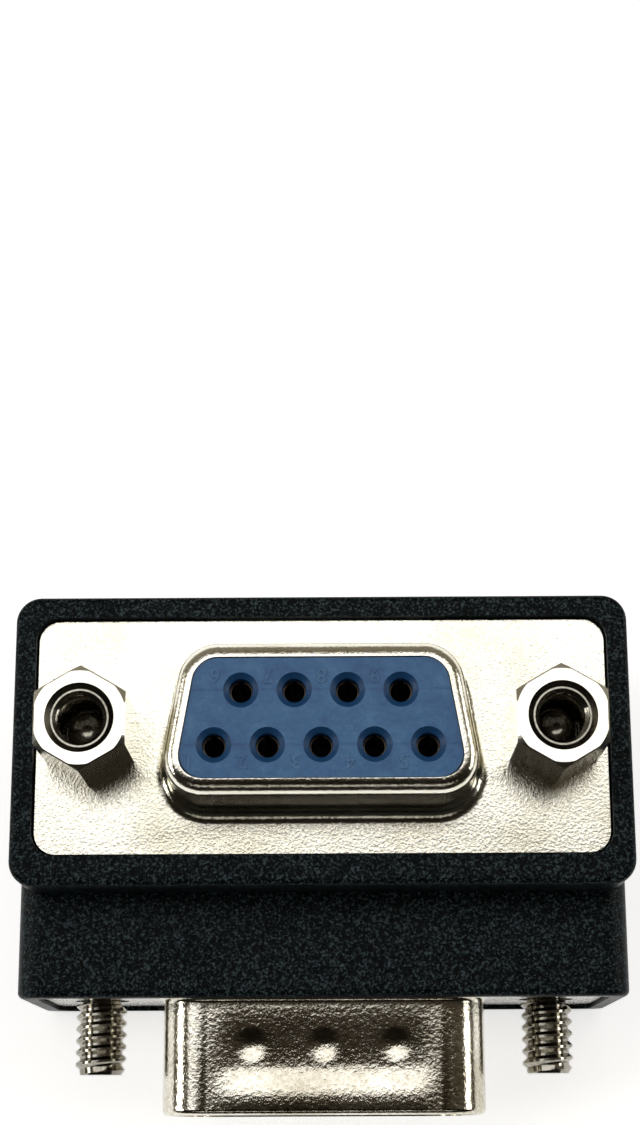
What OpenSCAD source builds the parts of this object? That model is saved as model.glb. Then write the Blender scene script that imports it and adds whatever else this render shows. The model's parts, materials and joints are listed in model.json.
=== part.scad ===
// Right-angle D-sub adapter: a nine-way socket on one face and a nine-way plug square to it.
// It lies on its back: the socket faces +Z, the plug faces -Y, and X runs along both flanges.
// The origin is on the flat back, straight behind the middle of the socket.

/* [Contacts] */
// Distance between neighbouring contacts of one row
contact_pitch = 2.77; // [2.6:0.01:2.95]
// Distance between the two rows of contacts
row_pitch = 2.84; // [2.6:0.01:3.1]
// Diameter of a plug pin
pin_d = 1; // [0.8:0.05:1.1]
// How far the pin tips stop short of the plug shell's rim
pin_short = 0.8; // [0.4:0.1:1.5]
// Outer diameter of a socket barrel
barrel_d = 1.7; // [1.5:0.05:1.8]
// How far the socket barrels stop short of the blue face
barrel_short = 1; // [0.4:0.1:1.4]
// Depth of the bore in a socket barrel
barrel_bore = 4.6; // [3.5:0.1:5]
// Width of the slot that splits a socket barrel into two springs
barrel_slot = 0.24; // [0.15:0.01:0.35]
// Diameter of the collar that the two insulators hold
collar_d = 2.1; // [1.9:0.05:2.2]
// Thickness of that collar
collar_t = 0.8; // [0.5:0.1:1.2]
// Outer diameter of a solder cup
cup_d = 1.6; // [1.5:0.05:1.7]
// How far the solder cups stand out of the insulators
cup_rise = 1.8; // [1.4:0.1:2]
// Depth of the hole in a solder cup
cup_depth = 1.6; // [1:0.1:1.8]
// Diameter of a wire between two solder cups
wire_d = 0.9; // [0.6:0.05:1]
// Radius of a wire's bend, at its middle
wire_bend = 1.6; // [1:0.1:1.8]
// Clearance around a contact, and around a wire in its cup
contact_gap = 0.05; // [0.02:0.01:0.08]

/* [Metal shells] */
// Thickness of the pressed sheet
sheet = 0.4; // [0.3:0.05:0.5]
// Slope of the short sides of the D outline
side_slope = 10; // [6:1:12]
// From the last contact of the long row to the widest point of the socket shell
shell_side = 2.625; // [2.5:0.025:2.9]
// From a row of contacts to the socket shell's outer face
shell_end = 2.53; // [2.4:0.01:2.8]
// Outer corner radius of the socket shell
socket_corner = 2.1; // [1.8:0.1:2.4]
// How far the socket shell stands out of its flange
socket_rise = 6.2; // [5.6:0.05:6.6]
// Bend radius of the rim that turns in around the blue face
lip_bend = 0.6; // [0.5:0.05:0.8]
// Flat width of that rim
lip_flat = 0.2; // [0.1:0.05:0.4]
// Draw radius where the socket shell leaves its flange
socket_draw = 0.8; // [0.5:0.05:1]
// Gap between the socket shell and a plug shell around it
mate_gap = 0.27; // [0.2:0.01:0.35]
// Outer corner radius of the plug shell
plug_corner = 2.3; // [2:0.1:2.6]
// How far the plug shell stands out of its flange
plug_rise = 6.2; // [5.6:0.05:6.4]
// Draw radius where the plug shell leaves its flange
plug_draw = 0.35; // [0.2:0.05:0.6]
// Radius on the outer edge of the plug shell's rim
plug_rim = 0.3; // [0.1:0.05:0.3]
// Diameter of a pressed grip dimple
dimple_d = 1.5; // [1:0.1:1.8]
// Depth of a grip dimple
dimple_depth = 0.3; // [0.15:0.05:0.35]
// Distance between neighbouring dimples
dimple_pitch = 3.92; // [3:0.02:4.2]
// Height of the dimples above the flange
dimple_height = 2.6; // [2:0.1:3.4]
// How far the back shell stands out behind its flange
back_rise = 4.4; // [3.8:0.1:4.8]
// From the flange's long edge to the back shell's outer face
back_inset = 0.85; // [0.7:0.05:1]
// Bend and draw radius of the back shell
back_bend = 0.55; // [0.5:0.05:0.7]

/* [Flanges] */
// Distance between the two fixing holes
screw_pitch = 24.99; // [24:0.01:26]
// From a fixing hole's centre to the flange's short edge
flange_ear = 2.91; // [2.5:0.01:3.5]
// Height of the flange
flange_h = 12.55; // [12.2:0.05:13.2]
// Corner radius of the flange
flange_corner = 1.15; // [0.5:0.05:1.6]
// Diameter of the fixing holes
flange_hole = 3.05; // [2.95:0.05:3.3]

/* [Insulators] */
// Gap between the socket shell's rim and the level of the blue face
face_drop = 0.1; // [0:0.02:0.3]
// Height of the plug's blue face above its flange
plug_floor = 0.6; // [0.3:0.1:1]
// Thickness of the front insulators' foot behind the flange
foot_t = 1.2; // [0.8:0.1:1.6]
// Diameter of a socket's lead-in hole in the blue face
entry_d = 1.25; // [1.15:0.05:1.4]
// Diameter of the countersink around that hole
entry_wide = 1.84; // [1.5:0.02:2]
// Clearance between insulators and shells
shell_gap = 0.05; // [0.02:0.01:0.1]

/* [Housing] */
// Clearance around a flange in its seat
seat_gap = 0.12; // [0.05:0.01:0.25]
// Width of the housing's rim beside a flange's short edge
rim_side = 1.15; // [0.8:0.05:1.6]
// Width of the socket's rim on the side away from the plug
rim_top = 1.15; // [0.8:0.05:1.6]
// Width of the socket's rim on the plug's side
rim_bottom = 1.6; // [0.8:0.05:2]
// Width of the plug's rim beside its flange's long edges
rim_plug = 0.85; // [0.7:0.05:1.4]
// How far the socket's flange lies below the rim
socket_sink = 0.6; // [0.2:0.05:0.8]
// How far the plug's flange lies below the rim
plug_sink = 0.2; // [0.1:0.05:0.6]
// From the plug's middle line to the socket's flange face
axis_drop = 10.3; // [10:0.1:12]
// From the socket's middle line to the housing's plug end
reach = 13.5; // [13:0.1:15]
// Corner radius of the housing
housing_corner = 1.35; // [0.8:0.05:1.8]
// Radius on the housing's rims
rim_edge = 0.35; // [0.2:0.05:0.4]
// How far the socket's rim stands out around the block behind it
rim_step = 0.15; // [0.1:0.05:0.4]
// How far the thick part under the rim reaches back from the socket's flange
rim_depth = 6; // [5:0.1:7]
// Half the width of the wire space
wire_space = 7.4; // [7:0.1:8]
// Wall behind the wire space
back_wall = 2.2; // [1.2:0.1:2.6]
// Radius of a screw channel
channel_r = 3; // [2.8:0.1:3.2]
// Length of the screw's bore between the channel and the plug's flange
web = 5.4; // [4.8:0.1:5.6]

/* [Fasteners] */
// Outer diameter of the screw threads
thread_d = 2.84; // [2.6:0.02:2.9]
// Core diameter of the screw threads
core_d = 2.3; // [2.1:0.05:2.4]
// Clearance of a screw in a housing bore
screw_gap = 0.08; // [0.04:0.01:0.1]
// Across the flats of a jack socket
jack_flats = 4.76; // [4.5:0.02:5]
// Height of a jack socket above the flange
jack_rise = 6.4; // [5:0.1:7]
// Length of a jack socket's stud behind the flange
jack_stud = 6.6; // [6.2:0.1:6.8]
// Diameter of the countersink in a jack socket
jack_sink = 3.6; // [3.2:0.1:3.9]
// Depth of the threaded hole in a jack socket
jack_hole = 5.2; // [4:0.1:5.6]
// Thickness of the nut behind a jack socket
nut_t = 1.6; // [1.2:0.1:2]
// Clearance of a nut in its pocket
nut_gap = 0.06; // [0.03:0.01:0.15]
// Diameter of a jackscrew's head
head_d = 5; // [4.6:0.1:5.3]
// Height of a jackscrew's head
head_h = 3.2; // [2.4:0.1:4]
// Width of the driver slot
slot_w = 0.9; // [0.6:0.05:1.1]
// Depth of the driver slot
slot_depth = 1.2; // [0.8:0.1:1.6]
// How far a jackscrew stands out of the plug's flange
screw_rise = 4; // [3:0.1:5]
// Length of a jackscrew's pointed end
screw_tip = 0.4; // [0.2:0.05:0.6]
// Diameter of a jackscrew's neck, which carries its retaining ring
neck_d = 2.2; // [2:0.05:2.4]
// Outer diameter of a retaining ring
ring_d = 4; // [3.6:0.1:4.2]
// Thickness of a retaining ring
ring_t = 0.5; // [0.4:0.05:0.6]
// Room above and below a retaining ring, and under a jackscrew's head
float_gap = 0.2; // [0.1:0.05:0.3]

/* [Hidden] */
$fn = 64;
// Steps in a bend of the sheet and in a corner of a D outline,
// and the angle where a draw radius leaves its flange
BEND_STEPS = 4;
TURN_STEPS = 6;
DRAW_START = 262;
NUMBERS = [1 : 9];
SIDES = [["left", -1], ["right", 1]];

// Plug and socket outlines. The wide side of the D is at -y on the socket and at +y on the plug.
socket_wide = -1;
plug_wide = 1;
socket_w = 4*contact_pitch + 2*shell_side;
socket_h = row_pitch + 2*shell_end;
plug_w = socket_w + 2*(mate_gap + sheet);
plug_h = socket_h + 2*(mate_gap + sheet);
socket_centres = d_centres(socket_w, socket_h, socket_corner, socket_wide);
plug_centres = d_centres(plug_w, plug_h, plug_corner, plug_wide);
socket_back = back_radius(socket_h, socket_corner);
plug_back = back_radius(plug_h, plug_corner);
flange_w = screw_pitch + 2*flange_ear;

// Levels along a connector's own axis, from its flange face
flange_t = 2*sheet;
foot_level = -sheet - foot_t;
insulator_end = -flange_t - back_rise;
cup_end = insulator_end - cup_rise;
cup_floor = cup_end + cup_depth;
blue_level = socket_rise - face_drop;

// Housing
seat_w = flange_w + 2*seat_gap;
seat_h = flange_h + 2*seat_gap;
housing_w = seat_w + 2*rim_side;
rim_h = seat_h + rim_top + rim_bottom;
block_w = housing_w - 2*rim_step;
block_h = seat_h + 2*rim_plug;
block_top = seat_h/2 + rim_top - rim_step;
screw_x = screw_pitch/2;
plug_level = block_h/2;
socket_level = plug_level + axis_drop;
plug_end = -reach + plug_sink;
rim_back = socket_level - rim_depth;
shoulder = plug_end + flange_t + web;
cavity_top = socket_back + socket_h/2 - socket_corner;

// Fasteners
hex_round = 1/cos(30);
nut_level = socket_level - jack_stud + 0.4;
ring_level = plug_end + flange_t + float_gap;
ring_room = ring_t + 2*float_gap;
head_level = shoulder + float_gap/2;

// Corner centres of a D outline, counter-clockwise
function d_centres(w, h, r, wide) =
    let (long = w/2 - r,
         short = long - (h - 2*r)*tan(side_slope),
         low = wide < 0 ? long : short,
         high = wide < 0 ? short : long,
         y = h/2 - r)
    [[-low, -y], [low, -y], [high, y], [-high, y]];

// Corner centres of a rounded rectangle, counter-clockwise
function box_centres(w, h, r) =
    let (x = w/2 - r, y = h/2 - r) [[-x, -y], [x, -y], [x, y], [-x, y]];

// Corner radius that brings a back shell to its distance from the flange's long edge
function back_radius(h, r) = flange_h/2 - back_inset - (h/2 - r);

// Place of a contact in its face. Numbers 1 to 5 are the long row.
function contact_place(i, wide) =
    i <= 5 ? [(i - 3)*contact_pitch, wide*row_pitch/2] : [(i - 7.5)*contact_pitch, -wide*row_pitch/2];

function next(list, i) = list[(i + 1) % len(list)];
function last(list, i) = list[(i + len(list) - 1) % len(list)];
function heading(p, q) = atan2(q.y - p.y, q.x - p.x);

// Outline at a distance r around a set of corner centres
module outline(centres, r) {
    for (p = centres) translate(p) circle(r);
    polygon([for (i = [0 : len(centres) - 1])
        let (out = heading(centres[i], next(centres, i)) - 90, step = r*[cos(out), sin(out)])
        each [centres[i] + step, next(centres, i) + step]]);
}

// A section swept around a rectangle: a straight run along each side and a turn at each corner.
// The section's x is the distance from the corner centres, and its y is the height.
module sweep_around(centres) {
    for (i = [0 : len(centres) - 1]) translate(centres[i]) rotate(90*i) {
        rotate([90, 0, 90]) mirror([1, 0, 0]) linear_extrude(norm(next(centres, i) - centres[i])) children();
        rotate(-180) rotate_extrude(angle = 90) children();
    }
}

// A slab with rounded corners, and a rounded edge around its top face and around its bottom face
module soft_slab(w, h, corner, depth, edge) {
    centres = box_centres(w, h, corner);
    sweep_around(centres) {
        square([corner - edge, depth]);
        translate([0, edge]) square([corner, depth - 2*edge]);
        for (level = [edge, depth - edge]) translate([corner - edge, level]) circle(edge);
    }
    linear_extrude(depth) polygon(centres);
}

// Points along an arc around a centre
function arc(centre, r, from, to) =
    [for (k = [0 : BEND_STEPS]) let (a = from + (to - from)*k/BEND_STEPS) centre + r*[cos(a), sin(a)]];

// Section of a drawn shell, up its outer face and down its inner face. Its foot runs into the flange sheet.
function drawn_section(r, draw, rim) = concat(
    [[r + draw + sheet, -sheet/3]],
    arc([r + draw, draw], draw, DRAW_START, 180),
    rim,
    arc([r + draw, draw], draw + sheet, 180, DRAW_START),
    [[r + draw + sheet, -2*sheet/3]]);

// A rim that is bent in to a flat lip
function bent_rim(r, rise, bend, flat) = concat(
    arc([r - bend, rise - bend], bend, 0, 90),
    [[r - bend - flat, rise], [r - bend - flat, rise - sheet]],
    arc([r - bend, rise - bend], bend - sheet, 90, 0));

// A cut rim that is rounded on its outer edge
function cut_rim(r, rise, edge) = concat(
    arc([r - edge, rise - edge], edge, 0, 90),
    [[r - sheet, rise]]);

// Places and directions around an outline: the turn at each corner, in equal steps
function around(centres) = [for (i = [0 : len(centres) - 1])
    let (behind = heading(last(centres, i), centres[i]),
         turn = (heading(centres[i], next(centres, i)) - behind + 720) % 360)
    for (k = [0 : TURN_STEPS]) [centres[i], behind - 90 + turn*k/TURN_STEPS]];

// Outline of a drawn shell's wall, with the same steps at its corners
module drawn_outline(centres, r) {
    polygon([for (s = around(centres)) s[0] + r*[cos(s[1]), sin(s[1])]]);
}

// Wall of a drawn shell: its section carried around the D outline as one closed skin
module drawn_wall(centres, section) {
    stations = around(centres);
    rows = len(stations);
    n = len(section);
    polyhedron(
        points = [for (s = stations, p = section)
            [s[0].x + p.x*cos(s[1]), s[0].y + p.x*sin(s[1]), p.y]],
        faces = [for (s = [0 : rows - 1], p = [0 : n - 1])
            let (a = s*n, b = ((s + 1) % rows)*n, q = (p + 1) % n) [a + p, a + q, b + q, b + p]]);
}

// Flange sheet below its face, with two fixing holes and the mouth of a drawn shell
module flange(centres, r, draw) {
    mouth = r + 0.6*draw;
    translate([0, 0, -sheet]) linear_extrude(sheet) difference() {
        outline(box_centres(flange_w, flange_h, flange_corner), flange_corner);
        outline(centres, mouth);
        for (s = SIDES) translate([s[1]*screw_x, 0]) circle(d = flange_hole);
    }
}

// A connector's own axis points out of its mating face, with its flange face at zero
module at_socket() {
    translate([0, 0, socket_level]) children();
}

module at_plug() {
    translate([0, plug_end, plug_level]) rotate([90, 0, 0]) children();
}

module at_contacts(wide) {
    for (i = NUMBERS) translate(contact_place(i, wide)) children();
}

module housing() {
    color("#20242b") difference() {
        housing_block();
        seat(socket_centres, socket_back, socket_level, socket_sink);
        translate([0, plug_end, plug_level]) rotate([90, 0, 0]) seat(plug_centres, plug_back, 0, plug_sink);
        wire_room();
        for (s = SIDES) translate([s[1]*screw_x, 0, 0]) {
            screw_channel();
            screw_bore();
            jack_bore();
        }
    }
}

// Block behind both connectors, with the socket's rim standing out around and in front of it
module housing_block() {
    translate([0, (rim_top - rim_bottom)/2, rim_back])
        soft_slab(housing_w, rim_h, housing_corner, rim_depth + socket_sink, rim_edge);
    translate([0, block_top, plug_level]) rotate([90, 0, 0])
        soft_slab(block_w, block_h, housing_corner, block_top + reach, rim_edge);
}

// Recess for a flange, and the room behind it for the back shell
module seat(centres, back, level, sink) {
    translate([0, 0, level - flange_t]) linear_extrude(flange_t + 2*sink)
        outline(box_centres(seat_w, seat_h, flange_corner + seat_gap), flange_corner + seat_gap);
    translate([0, 0, level - flange_t - back_rise]) linear_extrude(back_rise + sheet)
        drawn_outline(centres, back + seat_gap);
    translate([0, 0, level - flange_t - back_bend]) linear_extrude(back_bend + sheet)
        drawn_outline(centres, back + back_bend + seat_gap);
}

// Space where the wires turn from one connector to the other
module wire_room() {
    low = plug_end + flange_t + back_rise;
    high = socket_level - flange_t - back_rise;
    translate([-wire_space, low - sheet, back_wall])
        cube([2*wire_space, cavity_top - low + sheet, high - back_wall + sheet]);
}

// Channel for a jackscrew's head and its driver, open at the back and at the top
module screw_channel() {
    translate([0, 2*block_top, plug_level]) rotate([90, 0, 0]) linear_extrude(2*block_top - shoulder) {
        circle(channel_r);
        translate([-channel_r, -block_h]) square([2*channel_r, block_h]);
    }
}

// Bore for a jackscrew, wider at the flange for its retaining ring
module screw_bore() {
    translate([0, shoulder + 1, plug_level]) rotate([90, 0, 0])
        cylinder(d = thread_d + 2*screw_gap, h = web + 2);
    translate([0, plug_end + flange_t + ring_room, plug_level]) rotate([90, 0, 0])
        cylinder(d = ring_d + 2*float_gap, h = ring_room + sheet);
}

// Bore for a jack socket's stud, with a pocket for its nut at the channel's end
module jack_bore() {
    translate([0, 0, plug_level]) cylinder(d = thread_d + 2*screw_gap, h = axis_drop);
    translate([0, 0, plug_level]) rotate(30)
        cylinder(d = (jack_flats + 2*nut_gap)*hex_round, h = nut_level + nut_t - plug_level, $fn = 6);
}

module socket_shell() {
    color("#d9d2c2") at_socket() {
        drawn_wall(socket_centres, drawn_section(socket_corner, socket_draw,
            bent_rim(socket_corner, socket_rise, lip_bend, lip_flat)));
        flange(socket_centres, socket_corner, socket_draw);
    }
}

module plug_shell() {
    reach_in = (pow(dimple_d/2, 2) + pow(dimple_depth, 2))/(2*dimple_depth);
    wide_dimples = [for (k = [-1 : 1]) [k*dimple_pitch, 1]];
    narrow_dimples = [for (k = [-0.5, 0.5]) [k*dimple_pitch, -1]];
    dimples = concat(wide_dimples, narrow_dimples);
    color("#cfc9bd") at_plug() {
        difference() {
            union() {
                drawn_wall(plug_centres, drawn_section(plug_corner, plug_draw,
                    cut_rim(plug_corner, plug_rise, plug_rim)));
                intersection() {
                    at_dimples(dimples, reach_in) sphere(reach_in + sheet);
                    translate([-plug_w/2, -plug_h/2 + sheet/2, 0]) cube([plug_w, plug_h - sheet, plug_rise]);
                }
            }
            at_dimples(dimples, reach_in) sphere(reach_in);
        }
        flange(plug_centres, plug_corner, plug_draw);
    }
}

// Balls that press the dimples into the plug shell's long walls from outside
module at_dimples(dimples, ball) {
    for (d = dimples)
        translate([d.x, d.y*(plug_h/2 + ball - dimple_depth), dimple_height]) children();
}

module back_shell(centres, r) {
    translate([0, 0, -flange_t]) mirror([0, 0, 1]) {
        drawn_wall(centres, drawn_section(r, back_bend, bent_rim(r, back_rise, back_bend, back_bend)));
        flange(centres, r, back_bend);
    }
}

module socket_back_shell() {
    color("#b9b7ae") at_socket() back_shell(socket_centres, socket_back);
}

module plug_back_shell() {
    color("#b9b7ae") at_plug() back_shell(plug_centres, plug_back);
}

// Foot of an insulator, held between a connector's two shells
module insulator_slab(centres, back, low, high) {
    translate([0, 0, low]) linear_extrude(high - low) outline(centres, back - sheet - shell_gap);
}

module socket_front_insulator() {
    inside = socket_corner - sheet - shell_gap;
    nose = socket_corner - lip_bend - lip_flat - shell_gap;
    barrel_end = blue_level - barrel_short;
    color("#3f66a3") at_socket() difference() {
        union() {
            translate([0, 0, -sheet]) linear_extrude(socket_rise - lip_bend + sheet)
                outline(socket_centres, inside);
            translate([0, 0, -sheet]) linear_extrude(blue_level + sheet) outline(socket_centres, nose);
            insulator_slab(socket_centres, socket_back, foot_level, -sheet);
        }
        at_contacts(socket_wide) {
            translate([0, 0, foot_level - 1])
                cylinder(d = barrel_d + 2*contact_gap, h = barrel_end - foot_level + 1);
            translate([0, 0, foot_level - 1]) cylinder(d = entry_d, h = blue_level - foot_level + 2);
            countersink();
            collar_room();
        }
    }
}

// Lead-in cone around a socket's hole, at the level of the blue face
module countersink() {
    deep = (entry_wide - entry_d)/2;
    translate([0, 0, blue_level - deep]) cylinder(d1 = entry_d, d2 = entry_wide, h = deep);
    translate([0, 0, blue_level]) cylinder(d = entry_wide, h = 1);
}

// Room for half a contact's collar on each side of the joint between two insulators
module collar_room() {
    translate([0, 0, foot_level - collar_t/2]) cylinder(d = collar_d + 2*contact_gap, h = collar_t);
}

module plug_front_insulator() {
    color("#3f66a3") at_plug() difference() {
        union() {
            translate([0, 0, -sheet]) linear_extrude(plug_floor + sheet)
                outline(plug_centres, plug_corner - sheet - shell_gap);
            insulator_slab(plug_centres, plug_back, foot_level, -sheet);
        }
        at_contacts(plug_wide) {
            translate([0, 0, foot_level - 1])
                cylinder(d = pin_d + 2*contact_gap, h = plug_floor - foot_level + 2);
            collar_room();
        }
    }
}

module rear_insulator(centres, back, wide) {
    difference() {
        insulator_slab(centres, back, insulator_end + sheet, foot_level);
        at_contacts(wide) {
            translate([0, 0, insulator_end - 1]) cylinder(d = cup_d + 2*contact_gap, h = 2 - insulator_end);
            collar_room();
        }
    }
}

module socket_rear_insulator() {
    color("#3f66a3") at_socket() rear_insulator(socket_centres, socket_back, socket_wide);
}

module plug_rear_insulator() {
    color("#3f66a3") at_plug() rear_insulator(plug_centres, plug_back, plug_wide);
}

// Section of a contact behind its collar: collar, shank and solder cup
module tail_section() {
    translate([0, foot_level - collar_t/2]) square([collar_d/2 - contact_gap/2, collar_t]);
    difference() {
        translate([0, cup_end]) square([cup_d/2, foot_level - cup_end]);
        translate([0, cup_end - 1]) square([wire_d/2 + contact_gap, cup_depth + 1]);
    }
}

// Half of a solder cup's wall is cut away, so that the wire can be laid in and soldered
module cup_window(wide) {
    open = 0.7*cup_depth;
    translate([-cup_d, wide > 0 ? 0 : -2*cup_d, cup_end - 1]) cube([2*cup_d, 2*cup_d, open + 1]);
}

module socket_contact(i) {
    top = blue_level - barrel_short;
    wide = i <= 5 ? 1 : -1;
    color("#c9a54a") at_socket() translate(contact_place(i, socket_wide)) difference() {
        rotate_extrude() difference() {
            union() {
                translate([0, foot_level]) square([barrel_d/2, top - foot_level]);
                tail_section();
            }
            translate([0, top - barrel_bore]) square([pin_d/2 + contact_gap/2, barrel_bore + 1]);
        }
        translate([-barrel_slot/2, -barrel_d, top - 0.8*barrel_bore])
            cube([barrel_slot, 2*barrel_d, barrel_bore]);
        cup_window(wide*socket_wide);
    }
}

module plug_pin(i) {
    tip = plug_rise - pin_short - pin_d/2;
    wide = i <= 5 ? 1 : -1;
    color("#d2b25a") at_plug() translate(contact_place(i, plug_wide)) difference() {
        rotate_extrude() {
            translate([0, foot_level]) square([pin_d/2, tip - foot_level]);
            intersection() {
                translate([0, tip]) circle(d = pin_d);
                translate([0, tip]) square(pin_d);
            }
            tail_section();
        }
        cup_window(wide*plug_wide);
    }
}

// Wire from a socket's cup down to its bend, and from the bend to the same number's cup in the plug
module wire(i) {
    from = contact_place(i, socket_wide);
    turn_z = plug_level + contact_place(i, plug_wide).y;
    start_z = socket_level + cup_floor;
    end_y = plug_end - cup_floor;
    color("#b87333") translate([from.x, 0, 0]) {
        translate([0, from.y, turn_z + wire_bend]) cylinder(d = wire_d, h = start_z - turn_z - wire_bend);
        translate([0, from.y - wire_bend, turn_z + wire_bend]) rotate([0, 90, 0]) rotate_extrude(angle = 90)
            translate([wire_bend, 0]) circle(d = wire_d);
        translate([0, from.y - wire_bend, turn_z]) rotate([90, 0, 0])
            cylinder(d = wire_d, h = from.y - wire_bend - end_y);
    }
}

// Hexagonal jack socket: chamfered head with a threaded hole, and a stud through flange and housing
module jack_socket() {
    corner = jack_flats*hex_round/2;
    bevel = corner - jack_flats/2*1.03;
    tip = thread_d/2 - core_d/2;
    difference() {
        union() {
            intersection() {
                rotate(30) cylinder(r = corner, h = jack_rise, $fn = 6);
                union() {
                    cylinder(r = corner + 1, h = jack_rise - bevel*tan(30));
                    translate([0, 0, jack_rise - bevel*tan(30)])
                        cylinder(r1 = corner, r2 = corner - bevel, h = bevel*tan(30));
                }
            }
            translate([0, 0, tip - jack_stud]) cylinder(d = thread_d, h = jack_stud);
            translate([0, 0, -jack_stud]) cylinder(d1 = core_d, d2 = thread_d, h = tip);
        }
        translate([0, 0, jack_rise - jack_hole]) cylinder(d = core_d, h = jack_hole + 1);
        translate([0, 0, jack_rise - jack_hole - core_d*0.3])
            cylinder(d1 = 0.05, d2 = core_d, h = core_d*0.3);
        translate([0, 0, jack_rise - (jack_sink - core_d)/2])
            cylinder(d1 = core_d, d2 = jack_sink, h = (jack_sink - core_d)/2);
    }
}

module jack_sockets() {
    color("#d8d0b8") at_socket() for (s = SIDES) translate([s[1]*screw_x, 0, 0]) jack_socket();
}

module jack_nuts() {
    corner = jack_flats*hex_round/2;
    bevel = corner - jack_flats/2;
    color("#c4bfae") for (s = SIDES) translate([s[1]*screw_x, 0, nut_level]) difference() {
        intersection() {
            rotate(30) cylinder(r = corner, h = nut_t, $fn = 6);
            union() {
                cylinder(r1 = corner - bevel, r2 = corner, h = bevel*tan(30));
                translate([0, 0, bevel*tan(30)]) cylinder(r = corner, h = nut_t - bevel*tan(30));
            }
        }
        translate([0, 0, -1]) cylinder(d = thread_d + screw_gap, h = nut_t + 2);
    }
}

// Slotted captive screw, turned from above and threaded below the plug's flange
module jackscrew(side) {
    tip_y = plug_end - screw_rise;
    neck_top = plug_end + flange_t + ring_room;
    neck_end = plug_end - float_gap;
    color("#cdc6b4") translate([side*screw_x, 0, plug_level]) rotate([90, 0, 0]) difference() {
        rotate_extrude() polygon([
            [0, -head_level - head_h], [head_d/2 - screw_tip, -head_level - head_h],
            [head_d/2, -head_level - head_h + screw_tip], [head_d/2, -head_level],
            [thread_d/2, -head_level], [thread_d/2, -neck_top], [neck_d/2, -neck_top],
            [neck_d/2, -neck_end], [thread_d/2, -neck_end], [thread_d/2, -tip_y - screw_tip],
            [core_d/2, -tip_y], [0, -tip_y]]);
        translate([-head_d, -slot_w/2, -head_level - head_h - 1]) cube([2*head_d, slot_w, slot_depth + 1]);
    }
}

// Open ring on a jackscrew's neck, trapped between the housing and the plug's flange
module retaining_ring(side) {
    color("#8f8d86") translate([side*screw_x, ring_level, plug_level]) rotate([-90, 0, 0])
        linear_extrude(ring_t) difference() {
            circle(d = ring_d);
            circle(d = neck_d + contact_gap);
            translate([side < 0 ? -ring_d : 0, -neck_d*0.4]) square([ring_d, neck_d*0.8]);
        }
}

housing();
socket_shell();
socket_back_shell();
socket_front_insulator();
socket_rear_insulator();
plug_shell();
plug_back_shell();
plug_front_insulator();
plug_rear_insulator();
for (i = NUMBERS) {
    socket_contact(i);
    plug_pin(i);
    wire(i);
}
jack_sockets();
jack_nuts();
for (s = SIDES) {
    jackscrew(s[1]);
    retaining_ring(s[1]);
}
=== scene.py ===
import json
import math

import bmesh
import bpy
from mathutils import Matrix, Vector


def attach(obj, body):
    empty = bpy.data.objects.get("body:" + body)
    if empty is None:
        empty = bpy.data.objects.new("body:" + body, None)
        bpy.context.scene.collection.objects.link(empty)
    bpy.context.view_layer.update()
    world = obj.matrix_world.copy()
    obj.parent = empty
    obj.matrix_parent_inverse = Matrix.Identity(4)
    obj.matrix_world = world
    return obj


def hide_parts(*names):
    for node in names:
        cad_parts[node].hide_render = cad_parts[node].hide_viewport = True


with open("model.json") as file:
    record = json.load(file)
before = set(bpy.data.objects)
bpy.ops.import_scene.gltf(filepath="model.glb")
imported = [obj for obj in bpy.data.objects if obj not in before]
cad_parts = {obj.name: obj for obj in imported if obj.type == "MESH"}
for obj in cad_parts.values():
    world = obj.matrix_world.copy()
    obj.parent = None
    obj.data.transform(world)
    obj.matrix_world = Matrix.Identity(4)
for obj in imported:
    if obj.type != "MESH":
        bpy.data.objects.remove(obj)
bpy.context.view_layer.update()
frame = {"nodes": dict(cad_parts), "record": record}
nodes = frame["nodes"]

# Sizes in millimetres, as the adapter is built.
MM = 0.001
SOCKET_LEVEL = 17.545
PLUG_END = -13.3
PLUG_LEVEL = 7.245
SCREW_X = 12.495
CONTACT_PITCH = 2.77
ROW_PITCH = 2.84
BLUE_LEVEL = 6.1

# The two pressed shells and their flanges.
SHEET = 0.4
SIDE_SLOPE = math.radians(10)
FLANGE_W = 30.81
FLANGE_H = 12.55
FLANGE_CORNER = 1.15
FLANGE_HOLE = 3.05
SOCKET = {"w": 16.33, "h": 7.9, "corner": 2.1, "wide": -1, "rise": 6.2, "draw": 0.8}
PLUG = {"w": 17.67, "h": 9.24, "corner": 2.3, "wide": 1, "rise": 6.2, "draw": 0.35}
LIP_BEND = 0.74
LIP_FLAT = 0.06
RIM_EDGE = 0.3

# The plug shell's long walls: grip dimples in a shallow dish, and a lean towards the rim.
DIMPLE_REACH = 1
DIMPLE_DEPTH = 0.2
DIMPLE_PITCH = 3.92
DIMPLE_HEIGHT = 2.6
DISH_DEPTH = 0.13
DISH_START = 0.3
DISH_BOTTOM = 3.6
DISH_END = 5.3
DISH_FADE = 2
LEAN = 0.08
LEAN_START = 5.4
WALL_EDGE = 0.3
WALL_CUTS = 90
SMALLEST_WALL = 30

# Jackscrews, and the thread that they share with the jack sockets.
THREAD_R = 1.42
ROOT_R = 1.2
CORE_R = 1.15
THREAD_PITCH = 0.635
THREAD_STEPS = 40
# Radius, and share of the pitch, along one turn of the thread.
THREAD_SECTION = [(ROOT_R, 0), (ROOT_R, 0.2), (THREAD_R, 0.5), (THREAD_R, 0.7), (ROOT_R, 1)]
SCREW_REACH = 4
SCREW_END = PLUG_END - SCREW_REACH
SCREW_POINT = 0.4
NECK_REACH = 0.2
NECK_END = PLUG_END - NECK_REACH

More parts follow.
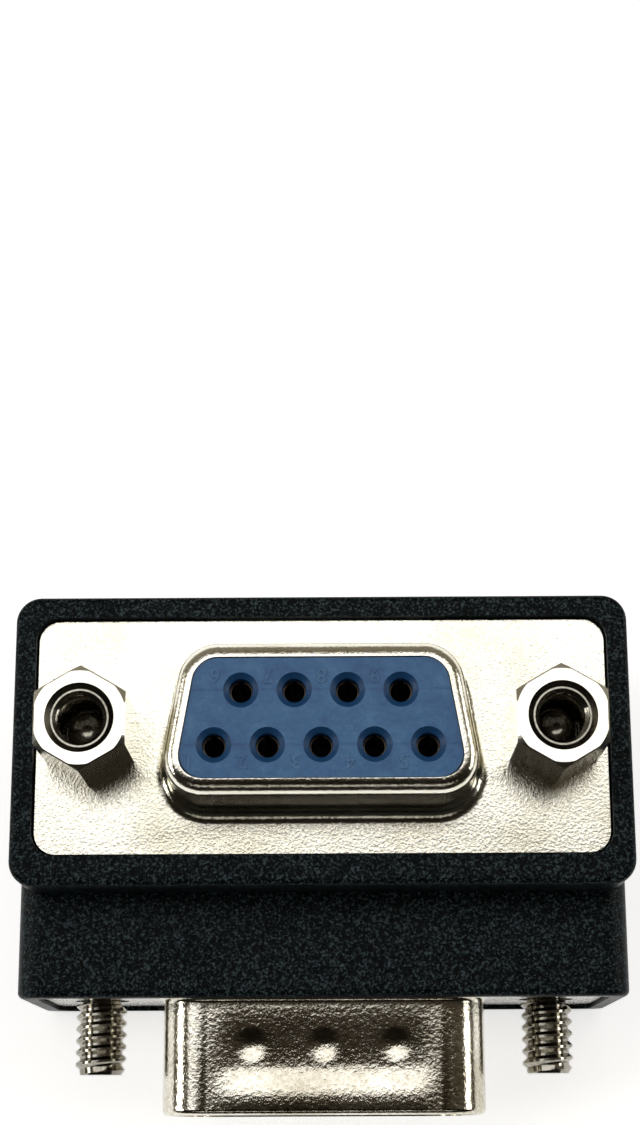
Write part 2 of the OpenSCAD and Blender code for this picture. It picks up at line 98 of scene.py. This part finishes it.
# Jack sockets. The turned face reaches a little past the flats.
JACK_FLATS = 4.76
JACK_FACE_SHARE = 1.02
JACK_FACE_R = JACK_FLATS/2*JACK_FACE_SHARE
JACK_EDGE = 0.07
JACK_SLOPE = math.radians(38)
JACK_RISE = 6.4
JACK_STUD = 6.6
JACK_HOLE = 5.2
JACK_SINK_R = 1.8
JACK_LAND = 0.09
DRILL_R = 1.12
DRILL_SHARE = 0.6
DRILL_POINT = DRILL_SHARE*DRILL_R

# Numbers beside the contacts. The long row holds 1 to 5, the short one 6 to 9.
NUMBERS = range(1, 10)
LONG_ROW_END = 5
LONG_ROW_MIDDLE = 3
SHORT_ROW_MIDDLE = 7.5
NUMBER_SIZE = 1.05
NUMBER_RISE = 0.05
LONG_ROW_SHIFT = (-1.28, -0.85)
SHORT_ROW_SHIFT = (-1.35, 0.75)

# Steps in a rounded corner, a bend and a rim, and sides of the round holes and studs.
CORNER_STEPS = 12
BEND_STEPS = 6
RIM_STEPS = 4
HOLE_SIDES = 48
DRILL_SIDES = 64
STUD_SIDES = 96

# How near counts as level, as merged, as on a face, as at the edge of a gap, and as at the neck.
LEVEL = 1e-6
MERGED = 1e-5
ON_FACE = 1e-4
AT_GAP = 1e-3
AT_NECK = 0.01
# The cosine past which a face counts as facing straight along an axis.
STRAIGHT = 0.999

# The stage in metres: the paper floor's reach, and the point that the low lamps aim at.
FLOOR_REACH = 20
AIM = (0, 0, 0.01)
# The paper's grey, and the glow by which it looks white to the camera and in the metal.
PAPER = 0.92
PAPER_LIFT = 0.65

# The camera: pixels of the picture, the lens in pixels, and the row straight ahead of the lens.
PICTURE_H = 1125
LENS_PIXELS = 2455.17
LENS_ROW = 339
SENSOR = 36
CAMERA_NEAR = 0.01
CAMERA_SPOT = (0.000828, -0.020878, 0.150303)
CAMERA_AHEAD = (-0.006, 0.311, -0.951)
CAMERA_UP = (0.006, 0.951, 0.311)

# A connector's own frame: Z out of its mating face, with the flange face at zero.
AT_SOCKET = Matrix.Scale(MM, 4) @ Matrix.Translation((0, 0, SOCKET_LEVEL))
FACING_PLUG = Matrix.Rotation(math.pi/2, 4, "X")
AT_PLUG = Matrix.Scale(MM, 4) @ Matrix.Translation((0, PLUG_END, PLUG_LEVEL)) @ FACING_PLUG


def colour(hex_value):
    """A hex colour as linear red, green, blue and alpha."""
    channels = [int(hex_value[i:i + 2], 16)/255 for i in (1, 3, 5)]
    return [c/12.92 if c <= 0.04045 else ((c + 0.055)/1.055)**2.4 for c in channels] + [1]


def grey(value):
    """A plain grey of that linear value."""
    return (value, value, value, 1)


def per_mm(size):
    """Pattern scale for one repeat in that many millimetres."""
    return 1/(size*MM)


def add(tree, kind, inputs=None, stops=(), **settings):
    """Adds a shader node with its settings, its colour stops, and values or links on its inputs."""
    made = tree.nodes.new(kind)
    for name, value in settings.items():
        setattr(made, name, value)
    for name, value in (inputs or {}).items():
        if isinstance(value, bpy.types.Node):
            value = value.outputs[0]
        if isinstance(value, bpy.types.NodeSocket):
            tree.links.new(value, made.inputs[name])
        else:
            made.inputs[name].default_value = value
    for i, (position, tone) in enumerate(stops):
        elements = made.color_ramp.elements
        stop = elements[i] if i < 2 else elements.new(position)
        stop.position = position
        stop.color = tone
    return made


def new_material(name):
    """An empty material, its nodes and its pattern coordinates."""
    material = bpy.data.materials.new(name)
    material.use_nodes = True
    tree = material.node_tree
    tree.nodes.clear()
    return material, tree, add(tree, "ShaderNodeTexCoord").outputs["Object"]


def spark_eroded_abs():
    # ABS moulded in a spark-eroded tool: nearly black, with a fine leathery grain. Its colour
    # follows the grain's height: painted highlights on the crests, painted shade in the creases.
    material, tree, place = new_material("spark_eroded_black_abs")
    creases = add(tree, "ShaderNodeTexNoise",
                  {"Vector": place, "Scale": per_mm(0.13), "Detail": 1, "Distortion": 0.5})
    broad = add(tree, "ShaderNodeTexNoise",
                {"Vector": place, "Scale": per_mm(3.5), "Detail": 2})
    bump = add(tree, "ShaderNodeBump",
               {"Strength": 1, "Distance": 0.03*MM, "Height": creases})
    # Painted highlights and shade: the grain's crests are coloured light, its creases near black.
    tint = add(tree, "ShaderNodeValToRGB", {"Fac": creases},
               [(0.34, colour("#010203")), (0.7, colour("#414e53")), (0.52, colour("#0d1416"))])
    gloss = add(tree, "ShaderNodeValToRGB", {"Fac": broad},
                [(0.3, grey(0.32)), (0.7, grey(0.42))])
    surface = add(tree, "ShaderNodeBsdfPrincipled",
                  {"Base Color": tint, "Roughness": gloss, "Normal": bump,
                   "IOR": 1.5, "Specular IOR Level": 0.06})
    add(tree, "ShaderNodeOutputMaterial", {"Surface": surface})
    return material


def plated_metal(name, dark, light, smooth, rough, grain, depth):
    # Nickel or zinc plate: a warm mirror, which the grain of the metal below it breaks
    # into fine glints. The grain's width and depth are in millimetres.
    material, tree, place = new_material(name)
    pits = add(tree, "ShaderNodeTexNoise",
               {"Vector": place, "Scale": per_mm(grain), "Detail": 3, "Roughness": 0.6})
    broad = add(tree, "ShaderNodeTexNoise",
                {"Vector": place, "Scale": per_mm(4), "Detail": 3})
    mix = add(tree, "ShaderNodeMath", {0: pits, 1: broad}, operation="MULTIPLY")
    bump = add(tree, "ShaderNodeBump",
               {"Strength": 1, "Distance": depth*MM, "Height": pits})
    tint = add(tree, "ShaderNodeValToRGB", {"Fac": mix},
               [(0.12, colour(dark)), (0.34, colour(light))])
    gloss = add(tree, "ShaderNodeValToRGB", {"Fac": broad},
                [(0.3, grey(smooth)), (0.7, grey(rough))])
    surface = add(tree, "ShaderNodeBsdfPrincipled",
                  {"Base Color": tint, "Roughness": gloss, "Normal": bump, "Metallic": 1})
    add(tree, "ShaderNodeOutputMaterial", {"Surface": surface})
    return material


def blue_pbt(name, pale):
    # PBT moulded in a worn tool: satin blue with cloudy flow marks, and a fine line along
    # each row of holes. Faces turned away from the mating face, such as the countersinks,
    # get painted shade and turn deep blue; pale lifts the whole tone.
    material, tree, place = new_material(name)
    flow = add(tree, "ShaderNodeTexNoise",
               {"Vector": place, "Scale": per_mm(1.1), "Detail": 6, "Roughness": 0.72})
    fine = add(tree, "ShaderNodeTexNoise",
               {"Vector": place, "Scale": per_mm(0.3), "Detail": 2})
    across = add(tree, "ShaderNodeSeparateXYZ", {0: place}).outputs["Y"]
    side = add(tree, "ShaderNodeMath", {0: across}, operation="ABSOLUTE")
    off = add(tree, "ShaderNodeMath", {0: side, 1: ROW_PITCH/2*MM}, operation="SUBTRACT")
    away = add(tree, "ShaderNodeMath", {0: off}, operation="ABSOLUTE")
    near = add(tree, "ShaderNodeMath", {0: away, 1: -per_mm(0.1), 2: 1},
               operation="MULTIPLY_ADD", use_clamp=True)
    level = add(tree, "ShaderNodeMath", {0: near, 1: -0.14, 2: flow},
                operation="MULTIPLY_ADD")
    # Painted shade in the recesses: the further a face turns from the mating face, the darker its
    # blue, so the countersinks go deep blue.
    normal = add(tree, "ShaderNodeTexCoord").outputs["Normal"]
    facing = add(tree, "ShaderNodeSeparateXYZ", {0: normal}).outputs
    forward = add(tree, "ShaderNodeMath", {0: facing["Y"], 1: -1}, operation="MULTIPLY")
    facing_out = add(tree, "ShaderNodeMath", {0: facing["Z"], 1: forward}, operation="MAXIMUM")
    painted_recess_shade = add(tree, "ShaderNodeMath", {0: facing_out, 1: 2, 2: pale - 2},
                 operation="MULTIPLY_ADD")
    shaded_level = add(tree, "ShaderNodeMath", {0: level, 1: painted_recess_shade}, operation="ADD")
    tint = add(tree, "ShaderNodeValToRGB", {"Fac": shaded_level},
               [(0.05, colour("#174775")), (0.76, colour("#4980b0")),
                (0.3, colour("#21568c")), (0.5, colour("#2d689f"))])
    height = add(tree, "ShaderNodeMath", {0: fine, 1: level}, operation="ADD")
    bump = add(tree, "ShaderNodeBump",
               {"Strength": 0.6, "Distance": 0.03*MM, "Height": height})
    surface = add(tree, "ShaderNodeBsdfPrincipled",
                  {"Base Color": tint, "Normal": bump, "Roughness": 0.42, "IOR": 1.57})
    add(tree, "ShaderNodeOutputMaterial", {"Surface": surface})
    return material


def worked_metal(name, dark, light, rough):
    # Bare or thinly plated small metal: satin, with the faint cloudiness of handling.
    material, tree, place = new_material(name)
    clouds = add(tree, "ShaderNodeTexNoise",
                 {"Vector": place, "Scale": per_mm(0.4), "Detail": 3})
    tint = add(tree, "ShaderNodeValToRGB", {"Fac": clouds},
               [(0.35, colour(dark)), (0.65, colour(light))])
    bump = add(tree, "ShaderNodeBump",
               {"Strength": 0.5, "Distance": 0.006*MM, "Height": clouds})
    surface = add(tree, "ShaderNodeBsdfPrincipled",
                  {"Base Color": tint, "Normal": bump, "Roughness": rough, "Metallic": 1})
    add(tree, "ShaderNodeOutputMaterial", {"Surface": surface})
    return material


pressed_nickel = plated_metal("nickel_plated_pressed_steel", "#d9d4c0", "#f7f4e8",
                              smooth=0.08, rough=0.14, grain=0.14, depth=0.014)
drawn_nickel = plated_metal("nickel_plated_drawn_steel", "#b3ac9a", "#e6e2d6",
                            smooth=0.06, rough=0.1, grain=0.22, depth=0.018)
turned_nickel = plated_metal("nickel_plated_turned_brass", "#dcd8ca", "#f3f1e8",
                             smooth=0.1, rough=0.17, grain=0.4, depth=0.004)
# Darker zinc: the jackscrews' finish, and painted shade inside the jack sockets' holes.
zinc_and_hole_shade = plated_metal("zinc_plated_steel_and_hole_shade", "#77736a", "#a9a59a",
                         smooth=0.1, rough=0.16, grain=0.2, depth=0.004)
paler_blue = blue_pbt("paler_blue_pbt", pale=0.12)
# Near-black contact metal: painted shade for the socket contacts deep in their holes.
contact_painted_shade = worked_metal("contact_metal_painted_dark", "#2e2b27", "#4a463f", rough=0.3)
FINISHES = {
    "housing_plastic": spark_eroded_abs(),
    "nickel_sheet": pressed_nickel,
    "blue_insulator": blue_pbt("moulded_blue_pbt", pale=0),
    "contact_plate": worked_metal("gold_flashed_turned_brass", "#a07c3a", "#c9a55c", rough=0.3),
    "wire_copper": worked_metal("drawn_copper", "#b06a45", "#cf8a63", rough=0.35),
    "nickel_fastener": turned_nickel,
    "spring_steel": worked_metal("stamped_spring_steel", "#77746d", "#928f88", rough=0.38),
}
for part in frame["record"]["subparts"]:
    finish = FINISHES[part["material_slot"]]
    # The socket contacts sit deep in their holes and get the near-black metal, as painted shade.
    if part["node"].startswith("socket_contact"):
        finish = contact_painted_shade
    for material_slot in nodes[part["node"]].material_slots:
        material_slot.material = finish


def finish_piece(name, bm, body, slot, replaced=(), sharp=30):
    """Makes a piece from its mesh, gives it its finish and hangs it on its body."""
    mesh = bpy.data.meshes.new(name)
    bm.to_mesh(mesh)
    bm.free()
    mesh.shade_smooth()
    mesh.set_sharp_from_angle(angle=math.radians(sharp))
    mesh.materials.append(FINISHES[slot])
    piece = bpy.data.objects.new(name, mesh)
    bpy.context.scene.collection.objects.link(piece)
    piece.modifiers.new("flat faces stay flat", "WEIGHTED_NORMAL").keep_sharp = True
    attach(piece, body)
    if replaced:
        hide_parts(*replaced)
    return piece


def rounded_face(bm, corners, radius):
    """A flat face whose corners are rounded."""
    verts = [bm.verts.new((x, y, 0)) for x, y in corners]
    bm.faces.new(verts)
    points = [Vector(c) for c in corners]
    for i, vert in enumerate(verts):
        behind = points[i - 1] - points[i]
        ahead = points[(i + 1) % len(points)] - points[i]
        cut = radius/math.tan(behind.angle(ahead)/2)
        bmesh.ops.bevel(bm, geom=[vert], offset=cut, offset_type="OFFSET", affect="VERTICES",
                        segments=CORNER_STEPS, profile=0.5, material=-1)
    return next(iter(bm.faces))


def d_face(bm, shell, grow):
    """The D outline of a shell, grown all around."""
    corner = shell["corner"] + grow
    level = shell["h"]/2 - shell["corner"]
    long = shell["w"]/2 - shell["corner"]
    short = long - 2*level*math.tan(SIDE_SLOPE)
    wide = long + corner*(1 + math.sin(SIDE_SLOPE))/math.cos(SIDE_SLOPE)
    narrow = short + corner*(1 - math.sin(SIDE_SLOPE))/math.cos(SIDE_SLOPE)
    low, high = (wide, narrow) if shell["wide"] < 0 else (narrow, wide)
    reach = level + corner
    corners = [(-low, -reach), (low, -reach), (high, reach), (-high, reach)]
    return rounded_face(bm, corners, corner)


def arc(centre, radius, start, end):
    """Points along an arc of a section, as distance out and height."""
    steps = range(BEND_STEPS + 1)
    angles = [math.radians(start + (end - start)*k/BEND_STEPS) for k in steps]
    return [(centre[0] + radius*math.cos(a), centre[1] + radius*math.sin(a)) for a in angles]


def press(bm, face, section):
    """Presses a flat blank up along a section, step by step, and opens its top."""
    for (out, height), (next_out, next_height) in zip(section, section[1:]):
        bmesh.ops.inset_region(bm, faces=[face], thickness=max(out - next_out, 0),
                               depth=next_height - height,
                               use_boundary=True, use_even_offset=True)
    bmesh.ops.delete(bm, geom=[face], context="FACES_ONLY")


def add_mesh(bm, other, matrix=Matrix()):
    """Moves another mesh into place and adds it."""
    bmesh.ops.transform(other, matrix=matrix, verts=other.verts[:])
    mesh = bpy.data.meshes.new("added")
    other.to_mesh(mesh)
    other.free()
    bm.from_mesh(mesh)
    bpy.data.meshes.remove(mesh)


def open_edges(bm, axis, level, near):
    """The open edges that lie at a level along an axis."""
    return [e for e in bm.edges
            if e.is_boundary and all(abs(v.co[axis] - level) < near for v in e.verts)]


def flat_area(face):
    """The area of a face that lies flat, and nothing for any other."""
    return face.calc_area() if abs(face.normal.z) > STRAIGHT else 0


def flange_sheet(bm):
    """The flat sheet around a pressed skirt, with two fixing holes."""
    skirt = open_edges(bm, 2, 0, LEVEL)
    known = set(bm.edges)
    blank = bmesh.new()
    x, y = FLANGE_W/2, FLANGE_H/2
    rounded_face(blank, [(-x, -y), (x, -y), (x, y), (-x, y)], FLANGE_CORNER)
    for side in (-1, 1):
        bmesh.ops.create_circle(blank, segments=HOLE_SIDES, radius=FLANGE_HOLE/2,
                                matrix=Matrix.Translation((side*SCREW_X, 0, 0)))
    bmesh.ops.delete(blank, geom=blank.faces[:], context="FACES_ONLY")
    add_mesh(bm, blank)
    rim = [e for e in bm.edges if e not in known]
    bmesh.ops.triangle_fill(bm, edges=skirt + rim, use_beauty=True, normal=(0, 0, 1))
    bmesh.ops.recalc_face_normals(bm, faces=bm.faces[:])
    if max(bm.faces, key=flat_area).normal.z < 0:
        bmesh.ops.reverse_faces(bm, faces=bm.faces[:])


def ease(value):
    """Goes smoothly from 0 to 1."""
    value = min(max(value, 0), 1)
    return value*value*(3 - 2*value)


def dish(height):
    """How far the plug shell's long wall is sunk at a height, away from its dimples."""
    if height < DISH_BOTTOM:
        sunk = DISH_DEPTH*ease((height - DISH_START)/(DISH_BOTTOM - DISH_START))
    else:
        sunk = DISH_DEPTH*ease((DISH_END - height)/(DISH_END - DISH_BOTTOM))
    return sunk + LEAN*max(height - LEAN_START, 0)**2


def dimple_walls(bm):
    """Presses grip dimples into the plug shell's long walls, which sink a little around them."""
    walls = [f for f in bm.faces if abs(f.normal.y) > STRAIGHT and f.calc_area() > SMALLEST_WALL]
    for wall in walls:
        side = 1 if wall.normal.y > 0 else -1
        level = side*PLUG["h"]/2
        half = max(v.co.x for v in wall.verts)
        offsets = (-1, 0, 1) if side == PLUG["wide"] else (-0.5, 0.5)
        bmesh.ops.inset_individual(bm, faces=[wall], thickness=WALL_EDGE, depth=0)
        bmesh.ops.subdivide_edges(bm, edges=wall.edges[:], cuts=WALL_CUTS, use_grid_fill=True)
        for vert in bm.verts:
            if abs(vert.co.y - level) > ON_FACE:
                continue
            x, z = vert.co.x, vert.co.z
            depth = dish(z)*ease((half - abs(x))/DISH_FADE)
            for k in offsets:
                away = math.hypot(x - k*DIMPLE_PITCH, z - DIMPLE_HEIGHT)
                depth += (DIMPLE_DEPTH - depth)*ease(1 - away/DIMPLE_REACH)
            vert.co.y = level - side*depth


def socket_shell():
    """Socket shell: a flange with a drawn D skirt, whose rim turns in around the blue face."""
    bm = bmesh.new()
    corner, draw, rise = SOCKET["corner"], SOCKET["draw"], SOCKET["rise"]
    section = arc((corner + draw, draw), draw, 270, 180)
    section += arc((corner - LIP_BEND, rise - LIP_BEND), LIP_BEND, 0, 90)
    section.append((corner - LIP_BEND - LIP_FLAT, rise))
    press(bm, d_face(bm, SOCKET, draw), section)
    flange_sheet(bm)
    bmesh.ops.solidify(bm, geom=bm.faces[:], thickness=SHEET)
    bmesh.ops.transform(bm, matrix=AT_SOCKET, verts=bm.verts[:])
    finish_piece("pressed_socket_shell", bm, "adapter", "nickel_sheet", ["socket_shell"])


def plug_shell():
    """Plug shell: a flange with a drawn D skirt, dimpled long walls and a rounded open rim."""
    bm = bmesh.new()
    corner, draw, rise = PLUG["corner"], PLUG["draw"], PLUG["rise"]
    section = arc((corner + draw, draw), draw, 270, 180) + [(corner, rise)]
    press(bm, d_face(bm, PLUG, draw), section)
    flange_sheet(bm)
    dimple_walls(bm)
    rim = open_edges(bm, 2, rise, LEVEL)
    bmesh.ops.solidify(bm, geom=bm.faces[:], thickness=SHEET)
    bmesh.ops.bevel(bm, geom=[e for e in rim if e.is_valid], offset=RIM_EDGE,
                    offset_type="OFFSET", affect="EDGES", segments=RIM_STEPS, profile=0.5,
                    material=-1)
    for vert in bm.verts:
        vert.co.z = min(vert.co.z, rise)
    bmesh.ops.transform(bm, matrix=AT_PLUG, verts=bm.verts[:])
    piece = finish_piece("drawn_plug_shell", bm, "adapter", "nickel_sheet", ["plug_shell"])
    piece.data.materials[0] = drawn_nickel


def thread_turns(length, least, most):
    """A right-hand thread along Z, cut off square, held between two radii given by height."""
    bm = bmesh.new()
    turns = math.ceil(length/THREAD_PITCH) + 2
    verts = [bm.verts.new((r, 0, (z - 1)*THREAD_PITCH)) for r, z in THREAD_SECTION]
    edges = [bm.edges.new(pair) for pair in zip(verts, verts[1:])]
    bmesh.ops.spin(bm, geom=verts + edges, cent=(0, 0, 0), axis=(0, 0, 1),
                   dvec=(0, 0, THREAD_PITCH/THREAD_STEPS), angle=2*math.pi*turns,
                   steps=THREAD_STEPS*turns, use_merge=False)
    bmesh.ops.remove_doubles(bm, verts=bm.verts[:], dist=MERGED)
    for height, way in ((0, -1), (length, 1)):
        bmesh.ops.bisect_plane(bm, geom=bm.verts[:] + bm.edges[:] + bm.faces[:], dist=ON_FACE,
                               plane_co=(0, 0, height), plane_no=(0, 0, way),
                               clear_outer=True)
    for vert in bm.verts:
        radius = math.hypot(vert.co.x, vert.co.y)
        held = min(max(radius, least(vert.co.z)), most(vert.co.z))
        vert.co.x *= held/radius
        vert.co.y *= held/radius
    return bm


def close_gaps(bm, axis, levels):
    """Closes the flat gaps left open at some levels along an axis, and turns all faces outward."""
    for level in levels:
        bmesh.ops.triangle_fill(bm, edges=open_edges(bm, axis, level, AT_GAP), use_beauty=True)
    bmesh.ops.recalc_face_normals(bm, faces=bm.faces[:])


def copy_of(node):
    """A copy of a solid's mesh in millimetres, its loose triangles joined, without its normals."""
    bm = bmesh.new()
    mesh = nodes[node].data.copy()
    mesh.attributes.remove(mesh.attributes["custom_normal"])
    bm.from_mesh(mesh)
    bpy.data.meshes.remove(mesh)
    bmesh.ops.scale(bm, vec=(1/MM, 1/MM, 1/MM), verts=bm.verts[:])
    bmesh.ops.remove_doubles(bm, verts=bm.verts[:], dist=ON_FACE)
    return bm


def jackscrew(side, sign):
    """Captive jackscrew with its thread cut, down to its pointed end."""
    bm = copy_of(f"jackscrew_{side}")
    plain = [f for f in bm.faces if f.calc_center_median().y < NECK_END + AT_NECK]
    bmesh.ops.delete(bm, geom=plain, context="FACES")
    length = NECK_END - SCREW_END
    taper = (THREAD_R - CORE_R)/SCREW_POINT
    thread = thread_turns(length, lambda z: 0, lambda z: CORE_R + (length - z)*taper)
    place = Matrix.Translation((sign*SCREW_X, NECK_END, PLUG_LEVEL)) @ FACING_PLUG
    add_mesh(bm, thread, place)
    close_gaps(bm, 1, (NECK_END, SCREW_END))
    bmesh.ops.scale(bm, vec=(MM, MM, MM), verts=bm.verts[:])
    piece = finish_piece(f"threaded_jackscrew_{side}", bm, f"jackscrew_{side}",
                         "nickel_fastener", [f"jackscrew_{side}"])
    piece.data.materials[0] = zinc_and_hole_shade


def next_ring(bm, ring, place):
    """Carries a ring of edges on to a new ring, placed by its radius and height at each angle."""
    made = bmesh.ops.extrude_edge_only(bm, edges=ring)["geom"]
    verts = {g for g in made if isinstance(g, bmesh.types.BMVert)}
    for vert in verts:
        angle = math.atan2(vert.co.y, vert.co.x)
        radius, height = place(angle)
        vert.co = (radius*math.cos(angle), radius*math.sin(angle), height)
    return [g for g in made
            if isinstance(g, bmesh.types.BMEdge) and verts.issuperset(g.verts)]


def hexagon(angle):
    """Distance from the middle of a jack socket to its side."""
    return JACK_FLATS/2/math.cos((angle + math.pi/6) % (math.pi/3) - math.pi/6)


def turned_off(angle):
    """How much of a jack socket's hexagon is turned off around its face."""
    return max(hexagon(angle) - JACK_FACE_R, JACK_EDGE)


def jack_socket():
    """One hexagonal jack socket: stud, turned body, and the thread in its countersunk hole."""
    bm = bmesh.new()
    bmesh.ops.create_circle(bm, cap_ends=True, segments=STUD_SIDES, radius=CORE_R,
                            matrix=Matrix.Translation((0, 0, -JACK_STUD)))
    land = JACK_RISE - (JACK_SINK_R - THREAD_R - JACK_LAND)
    bottom = JACK_RISE - JACK_HOLE
    ring = bm.edges[:]
    for place in (lambda a: (THREAD_R, THREAD_R - CORE_R - JACK_STUD),
                  lambda a: (THREAD_R, 0),
                  lambda a: (hexagon(a), 0),
                  lambda a: (hexagon(a), JACK_RISE - turned_off(a)*math.tan(JACK_SLOPE)),
                  lambda a: (hexagon(a) - turned_off(a), JACK_RISE),
                  lambda a: (JACK_SINK_R, JACK_RISE),
                  lambda a: (THREAD_R + JACK_LAND, land)):
        ring = next_ring(bm, ring, place)
    bmesh.ops.remove_doubles(bm, verts=bm.verts[:], dist=MERGED)
    length = land - bottom
    thread = thread_turns(length, lambda z: THREAD_R - (length - z), lambda z: CORE_R + z)
    add_mesh(bm, thread, Matrix.Translation((0, 0, bottom)))
    drilled = bmesh.new()
    bmesh.ops.create_cone(drilled, segments=DRILL_SIDES, radius1=0, radius2=DRILL_R,
                          depth=DRILL_POINT)
    bmesh.ops.remove_doubles(drilled, verts=drilled.verts[:], dist=MERGED)
    add_mesh(bm, drilled, Matrix.Translation((0, 0, bottom - DRILL_POINT/2)))
    close_gaps(bm, 2, (land, bottom))
    # Faces inside the hole take the second, darker zinc finish: painted shade in the hole.
    for face in bm.faces:
        centre = face.calc_center_median()
        in_hole = centre.xy.length < JACK_SINK_R and 0 < centre.z < JACK_RISE - ON_FACE
        face.material_index = int(in_hole)
    return bm


def jack_sockets():
    """The two jack sockets beside the socket shell, with painted shade in their holes."""
    bm = bmesh.new()
    for sign in (-1, 1):
        add_mesh(bm, jack_socket(), Matrix.Translation((sign*SCREW_X, 0, 0)))
    bmesh.ops.transform(bm, matrix=AT_SOCKET, verts=bm.verts[:])
    piece = finish_piece("threaded_jack_sockets", bm, "adapter", "nickel_fastener",
                         ["jack_sockets"], sharp=25)
    piece.data.materials.append(zinc_and_hole_shade)


def number_place(number):
    """Where a contact's number stands on the blue face."""
    long_row = number <= LONG_ROW_END
    middle = LONG_ROW_MIDDLE if long_row else SHORT_ROW_MIDDLE
    row = SOCKET["wide"] if long_row else -SOCKET["wide"]
    shift = LONG_ROW_SHIFT if long_row else SHORT_ROW_SHIFT
    x = (number - middle)*CONTACT_PITCH + shift[0]
    y = row*ROW_PITCH/2 + shift[1]
    return Matrix.Translation((x, y, BLUE_LEVEL))


def contact_numbers():
    """Small raised numbers beside the holes, upright when the long row is on top."""
    bm = bmesh.new()
    for number in NUMBERS:
        text = bpy.data.curves.new("number", "FONT")
        text.body = str(number)
        text.size = NUMBER_SIZE
        text.align_x = "CENTER"
        text.align_y = "CENTER"
        text.extrude = NUMBER_RISE
        text.resolution_u = 3
        holder = bpy.data.objects.new("number", text)
        bpy.context.scene.collection.objects.link(holder)
        bpy.context.view_layer.update()
        shown = holder.evaluated_get(bpy.context.evaluated_depsgraph_get())
        mesh = bpy.data.meshes.new_from_object(shown)
        mesh.transform(number_place(number) @ Matrix.Rotation(math.pi, 4, "Z"))
        bm.from_mesh(mesh)
        bpy.data.objects.remove(holder)
        bpy.data.curves.remove(text)
        bpy.data.meshes.remove(mesh)
    bmesh.ops.transform(bm, matrix=AT_SOCKET, verts=bm.verts[:])
    piece = finish_piece("contact_numbers", bm, "adapter", "blue_insulator")
    # The numbers take the blue a little paler all over, with painted shade on their faces that turn
    # from the mating face.
    piece.data.materials[0] = paler_blue


socket_shell()
plug_shell()
jackscrew("left", -1)
jackscrew("right", 1)
jack_sockets()
contact_numbers()


def floor_sheet():
    """Pale paper floor out to the horizon, which keeps the adapter's shadow."""
    material, tree = new_material("pale_paper")[:2]
    path = add(tree, "ShaderNodeLightPath").outputs
    seen = add(tree, "ShaderNodeMath", {0: path["Is Camera Ray"], 1: path["Is Glossy Ray"]},
               operation="ADD")
    seen = add(tree, "ShaderNodeMath", {0: seen, 1: path["Is Transmission Ray"]},
               operation="ADD")
    lift = add(tree, "ShaderNodeMath", {0: seen, 1: PAPER_LIFT}, operation="MULTIPLY")
    surface = add(tree, "ShaderNodeBsdfPrincipled",
                  {"Base Color": grey(PAPER), "Roughness": 0.9,
                   "Emission Color": grey(1), "Emission Strength": lift})
    add(tree, "ShaderNodeOutputMaterial", {"Surface": surface})
    bm = bmesh.new()
    bmesh.ops.create_grid(bm, x_segments=1, y_segments=1, size=FLOOR_REACH)
    mesh = bpy.data.meshes.new("floor")
    bm.to_mesh(mesh)
    bm.free()
    mesh.materials.append(material)
    floor = bpy.data.objects.new("floor", mesh)
    bpy.context.scene.collection.objects.link(floor)


def room():
    """A dim warm room, darkest overhead and on the plug's side, which the metal mirrors."""
    world = bpy.data.worlds.new("room")
    bpy.context.scene.world = world
    world.use_nodes = True
    tree = world.node_tree
    tree.nodes.clear()
    towards = add(tree, "ShaderNodeTexCoord").outputs["Generated"]
    part_way = add(tree, "ShaderNodeSeparateXYZ", {0: towards}).outputs
    walls = add(tree, "ShaderNodeValToRGB", {"Fac": part_way["Z"]},
                [(0.0, colour("#8a8577")), (1.0, colour("#5c5347")), (0.6, colour("#787264"))])
    behind = add(tree, "ShaderNodeMath", {0: part_way["Y"], 1: 0.5, 2: 0.5},
                 operation="MULTIPLY_ADD")
    shut = add(tree, "ShaderNodeValToRGB", {"Fac": behind}, [(0.4, grey(0.08)), (0.6, grey(1))])
    dim = add(tree, "ShaderNodeBackground", {"Color": walls, "Strength": shut})
    add(tree, "ShaderNodeOutputWorld", {"Surface": dim})


def lamp(name, spot, aim, width, depth, glow, tone, roll=0):
    """A soft rectangular lamp, with the brightness of its face."""
    light = bpy.data.lights.new(name, "AREA")
    light.shape = "RECTANGLE"
    light.size = width
    light.size_y = depth
    light.energy = glow*math.pi*width*depth
    light.color = colour(tone)[:3]
    holder = bpy.data.objects.new(name, light)
    turn = (Vector(aim) - Vector(spot)).to_track_quat("-Z", "Y").to_matrix().to_4x4()
    holder.matrix_world = Matrix.Translation(spot) @ turn @ Matrix.Rotation(roll, 4, "Z")
    bpy.context.scene.collection.objects.link(holder)


def photo_camera():
    """The photograph's camera, in front of the plug and high above the socket."""
    camera = bpy.data.cameras.new("camera")
    camera.sensor_width = SENSOR
    camera.lens = SENSOR*LENS_PIXELS/PICTURE_H
    camera.shift_y = (LENS_ROW - PICTURE_H/2)/PICTURE_H
    camera.clip_start = CAMERA_NEAR
    holder = bpy.data.objects.new("camera", camera)
    ahead = Vector(CAMERA_AHEAD).normalized()
    right = ahead.cross(Vector(CAMERA_UP)).normalized()
    turn = Matrix((right, right.cross(ahead), -ahead)).transposed().to_4x4()
    holder.matrix_world = Matrix.Translation(CAMERA_SPOT) @ turn
    bpy.context.scene.collection.objects.link(holder)
    bpy.context.scene.camera = holder


bpy.context.scene.view_settings.view_transform = "Standard"
floor_sheet()
room()
lamp("overhead", spot=(-0.08, 0.181, 0.62), aim=(-0.08, 0.181, 0), width=0.90, depth=0.30,
     glow=1.65, tone="#ffffff", roll=math.radians(11))
lamp("front", spot=(0.0, -0.50, 0.50), aim=AIM, width=0.50, depth=0.08, glow=0.9, tone="#fffaf2")
lamp("left", spot=(-0.62, 0.0, 0.30), aim=AIM, width=0.40, depth=0.16, glow=6.5, tone="#fffdf8")
lamp("right", spot=(0.62, 0.05, 0.30), aim=AIM, width=0.40, depth=0.16, glow=5.2, tone="#fffdf8")
photo_camera()
